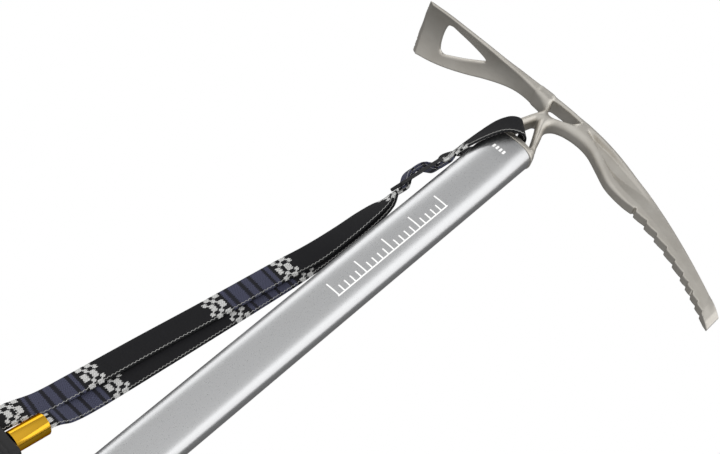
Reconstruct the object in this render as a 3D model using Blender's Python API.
"""General mountaineering ice axe with a webbing leash, laid on its side.

+X is the pick's direction, +Y runs up the shaft towards the head, +Z is up.
The axe's own pieces are modelled in the axe's frame, in millimetres from the
point where the shaft's axis meets the head, and are parented to one empty
that lays the axe down on its adze corner, pick and spike end. The leash is
modelled in floor coordinates, beside the shaft.
"""
import math

import bmesh
import bpy
import numpy as np
from mathutils import Matrix, Vector

MM = 0.001

# ---- driving dimensions, in millimetres ----
SHAFT_WIDE, SHAFT_THICK = 31.5, 19.5    # outside of the oval tube
SHAFT_WALL = 1.5
OVAL_POWER = 2.6                        # how square the oval is; 2 would be an ellipse
SHAFT_LONG = 500.0
OVAL_STEPS = 40
GAP = 0.3                               # clearance between pieces that touch
BOND = 0.5                              # adhesive thickness between a tang and the tube
HEAD_TANG, SPIKE_TANG = 62.0, 46.0
TANG_WALL = 2.2
HEAD_HALF = 7.2                         # half the casting's thickness at the neck
WEB_HALF = 2.7                          # half the thickness of the pick's recessed web
STRAP_WIDE, STRAP_THICK = 15.0, 1.5
BUCKLE_LONG, BUCKLE_WIDE, BUCKLE_THICK = 33.0, 22.0, 2.2
SLEEVE_LONG, SLEEVE_DIAMETER = 22.0, 13.0
SLIDER_LONG, SLIDER_WIDE, SLIDER_THICK = 26.0, 38.0, 12.4
SLIDER_HEIGHT = 6.7                     # height of the slider's middle above the floor
RIVET_DIAMETER, RIVET_HEAD, RIVET_AT = 4.0, 6.4, -478.0
RIVET_RISE = 1.2                        # how far each rivet head stands off the tube
EYE_DIAMETER, EYE_AT = 11.0, -519.0

# how the axe lies: rolled onto the adze corner, and the spike end a little down
ROLL, PITCH, AXIS_HEIGHT = math.radians(4.68), math.radians(0.67), 15.95
# the point under the shaft's head end, from the middle of the axe's outline on the floor
HEAD_AT = Vector((-30.5, 245.5, 0.0)) * MM


# ---- materials ----
def material(name, colour, roughness, metallic):
    finish = bpy.data.materials.new(name)
    finish.use_nodes = True
    shader = finish.node_tree.nodes["Principled BSDF"]
    shader.inputs["Base Color"].default_value = (*colour, 1.0)
    shader.inputs["Roughness"].default_value = roughness
    shader.inputs["Metallic"].default_value = metallic
    return finish


# ---- shapes ----
def oval(wide, thick, y, power=OVAL_POWER, steps=OVAL_STEPS):
    """Ring of points round the shaft's axis: a superellipse wide in X and thick in Z."""
    turn = np.linspace(0.0, 2.0 * math.pi, steps, endpoint=False)
    c, s = np.cos(turn), np.sin(turn)
    x = wide / 2 * np.sign(c) * np.abs(c) ** (2 / power)
    z = thick / 2 * np.sign(s) * np.abs(s) ** (2 / power)
    return np.stack([x, np.full(steps, y), z], 1)


def add_object(name, mesh, finish, parent):
    thing = bpy.data.objects.new(name, mesh)
    bpy.context.collection.objects.link(thing)
    mesh.materials.append(finish)
    thing.parent = parent
    mesh.shade_smooth()
    mesh.set_sharp_from_angle(angle=math.radians(35))
    return thing


def loft(name, rings, finish, parent):
    """One closed solid through rings of equally many points, capped at both ends."""
    rings = [np.asarray(ring, float) * MM for ring in rings]
    count = len(rings[0])
    build = bmesh.new()
    rows = [[build.verts.new(point) for point in ring] for ring in rings]
    for lower, upper in zip(rows, rows[1:]):
        for i in range(count):
            j = (i + 1) % count
            build.faces.new((lower[i], lower[j], upper[j], upper[i]))
    build.faces.new(rows[0][::-1])
    build.faces.new(rows[-1])
    bmesh.ops.recalc_face_normals(build, faces=build.faces)
    mesh = bpy.data.meshes.new(name)
    build.to_mesh(mesh)
    build.free()
    return add_object(name, mesh, finish, parent)


def prism(name, outline, low, high, along, finish, parent):
    """An outline pushed from low to high along Z, or along Y for an outline in X and Z."""
    if along == "z":
        rings = [[(u, v, level) for u, v in outline] for level in (low, high)]
    else:
        rings = [[(u, level, v) for u, v in outline] for level in (low, high)]
    return loft(name, rings, finish, parent)


def circle(radius, u, v, steps=24):
    turns = [2 * math.pi * i / steps for i in range(steps)]
    return [(u + radius * math.cos(t), v + radius * math.sin(t)) for t in turns]


def as_cutter(thing):
    thing.hide_render = True
    thing.display_type = "WIRE"
    return thing


def combine(target, other, operation):
    step = target.modifiers.new(other.name, "BOOLEAN")
    step.operation = operation
    step.object = as_cutter(other)
    step.solver = "EXACT"


# ---- the leash's ribbon ----
def smooth_route(route, step):
    """Catmull-Rom curve through the route's rows, read every few millimetres."""
    rows = np.asarray(route, float)
    ends = np.vstack([2 * rows[0] - rows[1], rows, 2 * rows[-1] - rows[-2]])
    out = []
    for i in range(len(rows) - 1):
        p0, p1, p2, p3 = ends[i:i + 4]
        count = max(1, round(np.linalg.norm((p2 - p1)[:3]) / step))
        for t in np.arange(count)[:, None] / count:
            out.append(0.5 * (2 * p1 + (p2 - p0) * t + (2 * p0 - 5 * p1 + 4 * p2 - p3) * t**2
                              + (3 * p1 - p0 - 3 * p2 + p3) * t**3))
    out.append(rows[-1])
    return np.array(out)


def strap(name, route, finish, parent, step=6.0, thick=STRAP_THICK):
    """Flat webbing along a route whose rows are x, y, z and the width's direction and size."""
    rows = smooth_route(route, step)
    middle, across = rows[:, :3], rows[:, 3:6]
    ahead = np.gradient(middle, axis=0)
    ahead /= np.linalg.norm(ahead, axis=1)[:, None]
    wide = np.linalg.norm(across, axis=1)[:, None]
    across = across - (across * ahead).sum(1)[:, None] * ahead
    across /= np.linalg.norm(across, axis=1)[:, None]
    up = np.cross(ahead, across)
    half_w, half_t = across * wide / 2, up * thick / 2
    corners = [middle + half_w - half_t, middle + half_w + half_t,
               middle - half_w + half_t, middle - half_w - half_t]
    return loft(name, np.stack(corners, 1), finish, parent)


def at(x, y, z, wx, wy, wz, wide=STRAP_WIDE):
    """One row of a strap's route: a point, and the webbing's width there as a vector."""
    across = np.array([wx, wy, wz], float)
    return (x, y, z, *(across / np.linalg.norm(across) * wide))


# ---- start from an empty scene ----
for old in list(bpy.data.objects):
    bpy.data.objects.remove(old, do_unlink=True)

CAST_STEEL = material("cast_stainless", (0.33, 0.31, 0.28), 0.5, 1.0)
ANODISED = material("anodised_shaft", (0.45, 0.46, 0.48), 0.35, 1.0)
EPOXY = material("epoxy", (0.25, 0.24, 0.2), 0.5, 0.0)
RIVET_STEEL = material("rivet_steel", (0.5, 0.5, 0.5), 0.3, 1.0)
WEBBING = material("webbing", (0.015, 0.015, 0.02), 0.85, 0.0)
THREAD = material("thread", (0.5, 0.5, 0.55), 0.8, 0.0)
BLACK_METAL = material("black_buckle", (0.02, 0.02, 0.02), 0.4, 0.6)
RUBBER = material("slider_rubber", (0.02, 0.02, 0.02), 0.7, 0.0)
GOLD = material("gold_anodised", (0.75, 0.35, 0.03), 0.25, 1.0)
LINER = material("liner_plastic", (0.05, 0.05, 0.05), 0.5, 0.0)

floor_frame = bpy.data.objects.new("floor_frame", None)
floor_frame.location = HEAD_AT
bpy.context.collection.objects.link(floor_frame)

axe_frame = bpy.data.objects.new("axe_frame", None)
axe_frame.matrix_world = (
    Matrix.Translation(HEAD_AT + Vector((0.0, 0.0, AXIS_HEIGHT * MM)))
    @ Matrix.Rotation(PITCH, 4, "X")
    @ Matrix.Rotation(ROLL, 4, "Y"))
bpy.context.collection.objects.link(axe_frame)

# ---- shaft tube ----
TUBE_TOP, TUBE_END = -GAP, -SHAFT_LONG
shaft = loft("shaft_tube", [oval(SHAFT_WIDE, SHAFT_THICK, y) for y in (TUBE_TOP, TUBE_END)],
             ANODISED, axe_frame)
BORE_WIDE, BORE_THICK = SHAFT_WIDE - 2 * SHAFT_WALL, SHAFT_THICK - 2 * SHAFT_WALL
bore = loft("bore_cutter", [oval(BORE_WIDE, BORE_THICK, y) for y in (10.0, TUBE_END - 10.0)],
            ANODISED, axe_frame)
combine(shaft, bore, "DIFFERENCE")

TANG_WIDE = BORE_WIDE - 2 * (2 * GAP + BOND)
TANG_THICK = BORE_THICK - 2 * (2 * GAP + BOND)


def hollow_tang(owner, root, end):
    """A thin-walled oval tang inside the tube, open at its far end and joined to its owner."""
    tang = loft(owner.name + "_tang", [oval(TANG_WIDE, TANG_THICK, y) for y in (root, end)],
                CAST_STEEL, axe_frame)
    combine(owner, tang, "UNION")
    into = math.copysign(1.0, end - root)
    inner = [oval(TANG_WIDE - 2 * TANG_WALL, TANG_THICK - 2 * TANG_WALL, y)
             for y in (root + into * 5.0, end + into * 5.0)]
    combine(owner, loft(owner.name + "_tang_bore", inner, CAST_STEEL, axe_frame), "DIFFERENCE")


def bond_layer(name, start, end):
    """The adhesive sleeve between a tang and the tube."""
    outer = [oval(TANG_WIDE + 2 * (GAP + BOND), TANG_THICK + 2 * (GAP + BOND), y)
             for y in (start, end)]
    inner = [oval(TANG_WIDE + 2 * GAP, TANG_THICK + 2 * GAP, y) for y in (start + 9.0, end - 9.0)]
    layer = loft(name, outer, EPOXY, axe_frame)
    combine(layer, loft(name + "_inner", inner, EPOXY, axe_frame), "DIFFERENCE")
    return layer


# ---- head casting: pick, bar, neck and adze ----
TOP_EDGE = [(164.8, -2.8), (147, 5), (122, 17.5), (97, 29), (74, 38.2), (46, 47.3), (24, 51.8),
            (0, 53.8), (-35, 53)]
NOTCH_BELOW_ADZE = [(-35, 47.8), (-22, 46.8), (-13, 44.6), (-8, 42.2), (-6.6, 40.4)]
LEFT_STRUT = [(-8.0, 36.5), (-12.7, 18), (-15.2, 3), (-15.2, 0)]
RIGHT_STRUT = [(15.2, 0), (14.6, 4), (11.2, 13), (8.8, 20.5), (5.8, 27), (5.2, 31)]
ARCH = [(7.6, 34), (13.4, 37.4), (20, 38.8), (28, 38.8), (36, 36.6), (46, 31.2), (56, 25.6),
        (64, 23.2), (74, 22)]
TEETH_START, TIP_LOW = 83.3, 165.0
TOOTH_PITCHES = [10.0] * 3 + [9.2] * 2 + [6.1] * 4
TOOTH_DEPTH = 2.3
UPPER_WINDOW = [(-3.5, 50.2), (-1.8, 45), (0.8, 41), (4.5, 40.6), (9.5, 43), (13.8, 46),
                (16.6, 49), (15.5, 50.4)]
LOWER_WINDOW = [(-2.2, 28.6), (-0.4, 28.2), (4.2, 18), (8.6, 6.6), (7.6, 4.8), (-7.2, 4.8),
                (-8.4, 6.6), (-5.4, 17)]
PICK_POCKET = [(28, 47.8), (29.5, 43.2), (38, 40.6), (48, 35), (58, 29.8), (70, 27.4), (92, 24.6),
               (97, 25), (74, 34.4), (46, 43.4)]
# half the thickness along the head, as x and z
PLAN = [(-36, 7.6), (-10, HEAD_HALF), (20, 6.6), (34, 5.8), (60, 4.4), (83, 3.3), (150, 3.0),
        (166, 0.7)]


def tooth_line(x):
    """Height of the teeth's tips: a gently steepening curve from the arch to the pick's tip."""
    run = x - TEETH_START
    return 21.3 - 0.2017 * run - 0.00318 * run * run


def teeth():
    """Each tooth has a short steep face towards the shaft and a long one sloping away."""
    points, x = [], TEETH_START
    for pitch in TOOTH_PITCHES:
        x += pitch
        points.append((x - 1.0, tooth_line(x) + TOOTH_DEPTH))
        points.append((x, tooth_line(x)))
    return points + [(TIP_LOW, tooth_line(TIP_LOW))]


side = TOP_EDGE + NOTCH_BELOW_ADZE + LEFT_STRUT + RIGHT_STRUT + ARCH \
    + [(TEETH_START, tooth_line(TEETH_START))] + teeth()
head = prism("head_casting", side, -12.0, 12.0, "z", CAST_STEEL, axe_frame)
plan = PLAN + [(x, -z) for x, z in reversed(PLAN)]
combine(head, prism("head_plan", plan, -40.0, 80.0, "y", CAST_STEEL, axe_frame), "INTERSECT")
combine(head, prism("upper_window", UPPER_WINDOW, -15, 15, "z", CAST_STEEL, axe_frame),
        "DIFFERENCE")
for label, low, high in (("near_pocket", WEB_HALF, 12.0), ("far_pocket", -12.0, -WEB_HALF)):
    combine(head, prism(label, PICK_POCKET, low, high, "z", CAST_STEEL, axe_frame), "DIFFERENCE")

collar = loft("collar", [oval(SHAFT_WIDE, SHAFT_THICK, 0.0), oval(SHAFT_WIDE, SHAFT_THICK, 1.2),
                         oval(29.0, 16.5, 5.0), oval(26.4, 13.6, 9.0)], CAST_STEEL, axe_frame)
combine(head, collar, "UNION")
combine(head, prism("lower_window", LOWER_WINDOW, -15, 15, "z", CAST_STEEL, axe_frame),
        "DIFFERENCE")

# adze: x, half width, height of the middle, droop of the sides, thickness
ADZE = [(-33, 7.3, 50.4, 0.0, 4.6), (-42, 9.0, 50.0, 2.4, 4.2), (-52, 12.4, 49.2, 4.0, 3.9),
        (-62, 16.2, 47.8, 5.4, 3.6), (-74, 19.6, 46.0, 6.6, 3.3), (-86, 22.1, 44.6, 7.5, 3.0),
        (-96, 23.1, 43.6, 8.0, 2.6), (-101, 23.5, 43.1, 8.1, 0.9)]
ADZE_BOW = 2.4
ADZE_ACROSS = 9
ADZE_HOLE = [(-85, 11.5), (-82, 13.2), (-79, 12.4), (-56.2, 1.8), (-55, 0), (-56.2, -1.8),
             (-79, -12.4), (-82, -13.2), (-85, -11.5), (-86.4, -8), (-87, 0), (-86.4, 8)]


def adze_ring(x, half, middle, droop, thick):
    """A scooped section: the plate's sides droop towards the spike, its edge bows outwards."""
    z = np.linspace(half, -half, ADZE_ACROSS)
    share = z / half
    bow = ADZE_BOW * (1 - share**2) * (x + 33) / 68
    upper = np.stack([x + bow, middle + thick / 2 - droop * share**2, z], 1)
    lower = np.stack([x + bow, middle - thick / 2 - droop * share**2, z], 1)
    return np.vstack([upper, lower[::-1]])


adze = loft("adze_plate", [adze_ring(*row) for row in ADZE], CAST_STEEL, axe_frame)
combine(head, adze, "UNION")
combine(head, prism("adze_hole", ADZE_HOLE, 20.0, 70.0, "y", CAST_STEEL, axe_frame), "DIFFERENCE")
hollow_tang(head, 2.0, -HEAD_TANG)
bond_layer("head_bond", -1.0, -HEAD_TANG)

# ---- spike casting ----
SPIKE_TOP = -SHAFT_LONG - GAP
spike = loft("spike_casting", [
    oval(SHAFT_WIDE, SHAFT_THICK, SPIKE_TOP), oval(SHAFT_WIDE, SHAFT_THICK, SPIKE_TOP - 2.5),
    oval(28.5, 13.0, SPIKE_TOP - 7.5), oval(26.0, 8.0, SPIKE_TOP - 13.0, 3.2),
    oval(21.5, 6.6, SPIKE_TOP - 24.0, 3.2), oval(15.0, 6.0, SPIKE_TOP - 33.0, 3.0),
    oval(8.0, 5.0, SPIKE_TOP - 40.0, 2.6), oval(1.6, 1.6, -546.0, 2.0)], CAST_STEEL, axe_frame)
hollow_tang(spike, SPIKE_TOP - 1.0, -SHAFT_LONG + SPIKE_TANG)
combine(spike, prism("spike_eye", circle(EYE_DIAMETER / 2, 0, EYE_AT), -12, 12, "z", CAST_STEEL,
                     axe_frame), "DIFFERENCE")
spike_bond = bond_layer("spike_bond", -SHAFT_LONG + SPIKE_TANG, -SHAFT_LONG + 0.6)

# ---- rivet through the tube's narrow sides and the spike's tang ----
def along_rivet(name, profile, finish):
    """A turned solid on the rivet's line: rows of how far out along X, and the radius there."""
    rings = [[(x, y, z) for y, z in circle(radius, RIVET_AT, 0)] for x, radius in profile]
    return loft(name, rings, finish, axe_frame)


HOLE_RADIUS = RIVET_DIAMETER / 2 + GAP
for owner in (shaft, spike, spike_bond):
    hole = along_rivet("rivet_hole_" + owner.name, [(-25, HOLE_RADIUS), (25, HOLE_RADIUS)],
                       RIVET_STEEL)
    combine(owner, hole, "DIFFERENCE")
SEAT = SHAFT_WIDE / 2 + GAP
half_rivet = [(SEAT, RIVET_DIAMETER / 2), (SEAT, RIVET_HEAD / 2),
              (SEAT + RIVET_RISE / 2, RIVET_HEAD / 2), (SEAT + RIVET_RISE, RIVET_HEAD / 4)]
along_rivet("spike_rivet", [(-x, radius) for x, radius in half_rivet[::-1]] + half_rivet,
            RIVET_STEEL)

# ---- buckle: a flat two-slot frame standing on edge beside the shaft ----
BUCKLE_AT = Vector((-27.1, -58.5, 12.9))
BUCKLE_ALONG = Vector((0.206, 0.956, 0.208)).normalized()
BUCKLE_ACROSS = Vector((0.433, -0.28, 0.857)).normalized()
BUCKLE_NORMAL = BUCKLE_ALONG.cross(BUCKLE_ACROSS)


def in_buckle(s, w, n):
    """A point s along the strap, w across it and n towards the shaft from the buckle's middle."""
    return BUCKLE_AT + BUCKLE_ALONG * s + BUCKLE_ACROSS * w + BUCKLE_NORMAL * n


def rounded_box(long, wide, corner, steps=4):
    """Corner arcs of a rectangle centred on the origin."""
    out = []
    for quarter, (cu, cv) in enumerate(((1, 1), (-1, 1), (-1, -1), (1, -1))):
        for i in range(steps + 1):
            turn = math.pi / 2 * (quarter + i / steps)
            out.append((cu * (long / 2 - corner) + corner * math.cos(turn),
                        cv * (wide / 2 - corner) + corner * math.sin(turn)))
    return out


def buckle_prism(name, outline, shift, thick):
    rings = [[in_buckle(s + shift, w, n) for s, w in outline] for n in (-thick / 2, thick / 2)]
    return loft(name, rings, BLACK_METAL, floor_frame)


SLOT_LONG, SLOT_WIDE, SLOT_AT = 10.4, 16.6, 7.6
buckle = buckle_prism("buckle_frame", rounded_box(BUCKLE_LONG, BUCKLE_WIDE, 3.0), 0.0,
                      BUCKLE_THICK)
for label, shift in (("head_slot", SLOT_AT), ("wrist_slot", -SLOT_AT)):
    combine(buckle, buckle_prism(label, rounded_box(SLOT_LONG, SLOT_WIDE, 1.2), shift, 12.0),
            "DIFFERENCE")

# ---- webbing, in floor coordinates; rows end with the width's direction ----
IN_BUCKLE = tuple(BUCKLE_ACROSS)
FOLD = (0.74, -0.67, -0.06)
FLAT_WAY = (0.99, -0.14, 0.0)


def buckle_row(s, n, wide=STRAP_WIDE):
    return at(*in_buckle(s, 0.0, n), *IN_BUCKLE, wide)


LAYER_APART = STRAP_THICK + GAP
END_BAR_CLEAR = 2.25                    # the outer layer's middle, past the buckle's end bars
# the inner layer's middle as s and n: under one end bar, over the middle bar, under the other
HALF_FOLD = [(0.0, -2.3), (4.6, -1.7), (8.0, 0.9), (11.6, 3.7), (14.4, 4.05)]
inner_layer = [(-s, n) for s, n in HALF_FOLD[:0:-1]] + HALF_FOLD
FOLD_END = 17.5


def fold_rows(shift):
    """Rows of one layer, shifted square to the folded curve, with straight ends."""
    curve = smooth_route([(s, n, 0.0) for s, n in inner_layer], 1.5)[:, :2]
    ahead = np.gradient(curve, axis=0)
    ahead /= np.linalg.norm(ahead, axis=1)[:, None]
    moved = curve + np.stack([ahead[:, 1], -ahead[:, 0]], 1) * shift
    level = END_BAR_CLEAR + LAYER_APART - shift
    ends = [(-FOLD_END, level)], [(FOLD_END, level)]
    return [buckle_row(s, n) for s, n in np.vstack([ends[0], moved, ends[1]])]


strap("strap_fold_inner", fold_rows(0.0), WEBBING, floor_frame, 2.0)
strap("strap_fold_outer", fold_rows(LAYER_APART), WEBBING, floor_frame, 2.0)

INNER_LEVEL, OUTER_LEVEL = END_BAR_CLEAR + LAYER_APART, END_BAR_CLEAR
STRAP_START, STRAP_SECOND = FOLD_END + GAP, FOLD_END + 4.0
HEAD_LOOP = [
    buckle_row(STRAP_START, INNER_LEVEL),
    buckle_row(STRAP_SECOND, INNER_LEVEL),
    at(-20.2, -32, 17.8, 0.50, -0.27, 0.82),
    at(-18.3, -22, 20.6, 0.60, -0.26, 0.76),
    at(-14.6, -10, 24.6, 0.70, -0.36, 0.60),
    at(-10.4, 0, 27.8, 0.76, -0.52, 0.36),
    at(-5.6, 7, 28.6, 0.76, -0.62, 0.10),
    at(-1.4, 10.6, 27.0, *FOLD, 14.0),
    at(0.3, 11.8, 23.0, *FOLD, 12.6),
    at(0.3, 11.8, 16.0, *FOLD, 12.6),
    at(-0.3, 11.4, 8.4, *FOLD, 12.6),
    at(-3.2, 8.8, 4.2, *FOLD, 14.0),
    at(-8.6, 3.0, 3.0, 0.78, -0.62, -0.04),
    at(-15.0, -6, 3.6, 0.84, -0.50, 0.10),
    at(-20.8, -17, 6.4, 0.80, -0.36, 0.44),
    at(-24.2, -27, 9.8, 0.62, -0.30, 0.70),
    buckle_row(STRAP_SECOND, OUTER_LEVEL),
    buckle_row(STRAP_START, OUTER_LEVEL)]
strap("strap_head_loop", HEAD_LOOP, WEBBING, floor_frame, 3.0)

SLIDE_WAY = Vector((-0.14, -0.99, 0.0)).normalized()
SLIDE_SIDE = Vector((-0.99, 0.14, 0.0)).normalized()
SLEEVE_AXIS_AT = Vector((-51.3, -350.0, SLIDER_HEIGHT))
STRAND_APART = 17.6
GATHERED = 9.4


def on_slide(run, side=0.0, up=0.0):
    """A point run past the sleeve's mouth along the strands, side towards the upper strand."""
    return SLEEVE_AXIS_AT + SLIDE_WAY * run + SLIDE_SIDE * side + Vector((0.0, 0.0, up))


LOWER_STRAND = [
    buckle_row(-STRAP_START, INNER_LEVEL),
    buckle_row(-STRAP_SECOND, INNER_LEVEL),
    at(-28.4, -90, 6.6, 0.58, -0.20, 0.78),
    at(-29.6, -106, 4.9, 0.82, -0.14, 0.54),
    at(-31.0, -124, 2.8, 0.96, -0.12, 0.24),
    at(-32.0, -148, 1.6, 1.0, -0.06, 0.0),
    at(-32.8, -174, 1.1, 1.0, -0.06, 0.0),
    at(-37.4, -224, 1.0, 1.0, -0.11, 0.0),
    at(-42.6, -270, 1.0, 1.0, -0.12, 0.0),
    at(-47.8, -314, 1.1, 1.0, -0.13, 0.0, 13.6),
    at(-49.6, -334, 3.2, *FLAT_WAY, 11.0),
    at(*on_slide(-2.0), *FLAT_WAY, GATHERED),
    at(*on_slide(30.0), *FLAT_WAY, GATHERED),
    at(*on_slide(60.0), *FLAT_WAY, GATHERED),
    at(*on_slide(90.0), *FLAT_WAY, GATHERED)]
strap("strap_lower_strand", LOWER_STRAND, WEBBING, floor_frame)

UPPER_STRAND = [
    buckle_row(-STRAP_START, OUTER_LEVEL),
    buckle_row(-STRAP_SECOND, OUTER_LEVEL),
    at(-30.9, -90, 7.6, 0.58, -0.20, 0.78),
    at(-32.3, -106, 6.8, 0.82, -0.14, 0.54),
    at(-32.7, -124, 5.2, 0.96, -0.12, 0.24),
    at(-33.8, -148, 3.8, 1.0, -0.16, 0.0),
    at(-37.4, -174, 3.2, 1.0, -0.15, 0.0),
    at(-45.2, -224, 3.0, 1.0, -0.16, 0.0),
    at(-52.8, -270, 3.0, 1.0, -0.15, 0.0),
    at(-60.6, -316, 3.7, 1.0, -0.17, 0.0),
    at(-64.6, -340, 4.6, 0.98, -0.18, 0.0),
    at(*on_slide(12.0, STRAND_APART), *FLAT_WAY),
    at(*on_slide(34.0, STRAND_APART), *FLAT_WAY),
    at(*on_slide(60.0, STRAND_APART), *FLAT_WAY),
    at(*on_slide(90.0, STRAND_APART), *FLAT_WAY)]
strap("strap_upper_strand", UPPER_STRAND, WEBBING, floor_frame)

ON_EDGE = 7.9
loop_start = on_slide(90.0 + GAP)
loop_end = on_slide(90.0 + GAP, STRAND_APART)
BACK_WAY = (-0.99, 0.14, 0.0)
WRIST_LOOP = [
    at(*loop_start, *FLAT_WAY, GATHERED),
    at(*on_slide(94.0), *FLAT_WAY, GATHERED),
    at(-64.6, -452, 7.4, 0.75, -0.10, 0.66, 12.0),
    at(-61.5, -466, ON_EDGE, 0.0, 0.0, 1.0),
    at(-54.5, -486, ON_EDGE, 0.0, 0.0, 1.0),
    at(-50.5, -510, ON_EDGE, 0.0, 0.0, 1.0),
    at(-55.5, -534, ON_EDGE, 0.0, 0.0, 1.0),
    at(-69.5, -547, ON_EDGE, 0.0, 0.0, 1.0),
    at(-86.5, -544, ON_EDGE, 0.0, 0.0, 1.0),
    at(-98.5, -528, ON_EDGE, 0.0, 0.0, 1.0),
    at(-101.0, -504, ON_EDGE, 0.0, 0.0, 1.0),
    at(-96.0, -482, ON_EDGE, 0.0, 0.0, 1.0),
    at(-88.5, -464, ON_EDGE, 0.0, 0.0, 1.0),
    at(-84.2, -451, 7.3, -0.75, 0.10, 0.66),
    at(*on_slide(94.0, STRAND_APART), *BACK_WAY),
    at(*loop_end, *BACK_WAY)]
strap("strap_wrist_loop", WRIST_LOOP, WEBBING, floor_frame, 5.0)

# ---- sewn join on the wrist loop: the overlapping tail and its bar tacks ----
JOIN_OFFSET = STRAP_THICK + GAP


def beside_loop(first, last, offset, wide):
    """Rows that follow the wrist loop between two of its points, offset to its inner side."""
    rows = smooth_route(WRIST_LOOP, 5.0)
    ahead = np.gradient(rows[:, :3], axis=0)
    ahead /= np.linalg.norm(ahead, axis=1)[:, None]
    inward = np.cross(ahead, [0.0, 0.0, 1.0])
    picked = [i for i, row in enumerate(rows) if first <= i <= last]
    return [at(*(rows[i, :3] + inward[i] * offset), 0.0, 0.0, 1.0, wide) for i in picked]


JOIN_FIRST, JOIN_LAST = 33, 40
TACK_THICK = 0.5
TACK_OFFSET = JOIN_OFFSET + STRAP_THICK / 2 + GAP + TACK_THICK / 2
strap("strap_join_tail", beside_loop(JOIN_FIRST, JOIN_LAST, JOIN_OFFSET, STRAP_WIDE), WEBBING,
      floor_frame)
for count, first in enumerate((JOIN_FIRST, JOIN_LAST - 1)):
    strap(f"bar_tack_{count + 1}", beside_loop(first, first + 1, TACK_OFFSET, 12.5), THREAD,
          floor_frame, thick=TACK_THICK)

# ---- wrist slider: moulded body with two passages, and the gold sleeve ----
SLOT_HIGH = 3.0


def slide_prism(name, outline, first, last, finish, side=0.0):
    """An outline across the strands, carried along them from first to last."""
    rings = [[on_slide(run, side + u, v) for u, v in outline] for run in (first, last)]
    return loft(name, rings, finish, floor_frame)


BODY_START = SLEEVE_LONG + GAP
BODY_END = BODY_START + SLIDER_LONG
body_middle = STRAND_APART / 2
body_section = rounded_box(SLIDER_WIDE, SLIDER_THICK, 4.5)


def body_ring(run, shrink):
    return [on_slide(run, body_middle + u * shrink, v * shrink) for u, v in body_section]


slider = loft("slider_body", [body_ring(BODY_START, 0.86), body_ring(BODY_START + 2.5, 0.97),
                              body_ring(BODY_START + 6, 1.0), body_ring(BODY_END - 6, 1.0),
                              body_ring(BODY_END - 2.5, 0.97), body_ring(BODY_END, 0.86)],
              RUBBER, floor_frame)
combine(slider, slide_prism("upper_passage", rounded_box(16.0, SLOT_HIGH, 1.2), BODY_START - 5,
                            BODY_END + 5, RUBBER, STRAND_APART), "DIFFERENCE")
combine(slider, slide_prism("lower_passage", rounded_box(10.6, SLOT_HIGH, 1.2), BODY_START - 5,
                            BODY_END + 5, RUBBER), "DIFFERENCE")

SLEEVE_WALL, LINER_WALL = 0.8, 0.7
sleeve_bore = SLEEVE_DIAMETER / 2 - SLEEVE_WALL
sleeve = slide_prism("slider_sleeve", circle(SLEEVE_DIAMETER / 2, 0, 0, 32), 0.0, SLEEVE_LONG, GOLD)
combine(sleeve, slide_prism("sleeve_bore", circle(sleeve_bore, 0, 0, 32), -5, SLEEVE_LONG + 5,
                            GOLD), "DIFFERENCE")
liner = slide_prism("sleeve_liner", circle(sleeve_bore - GAP / 2, 0, 0, 32), 0.6,
                    SLEEVE_LONG - 0.3, LINER)
combine(liner, slide_prism("liner_bore", circle(sleeve_bore - GAP / 2 - LINER_WALL, 0, 0, 32), -5,
                           SLEEVE_LONG + 5, LINER), "DIFFERENCE")
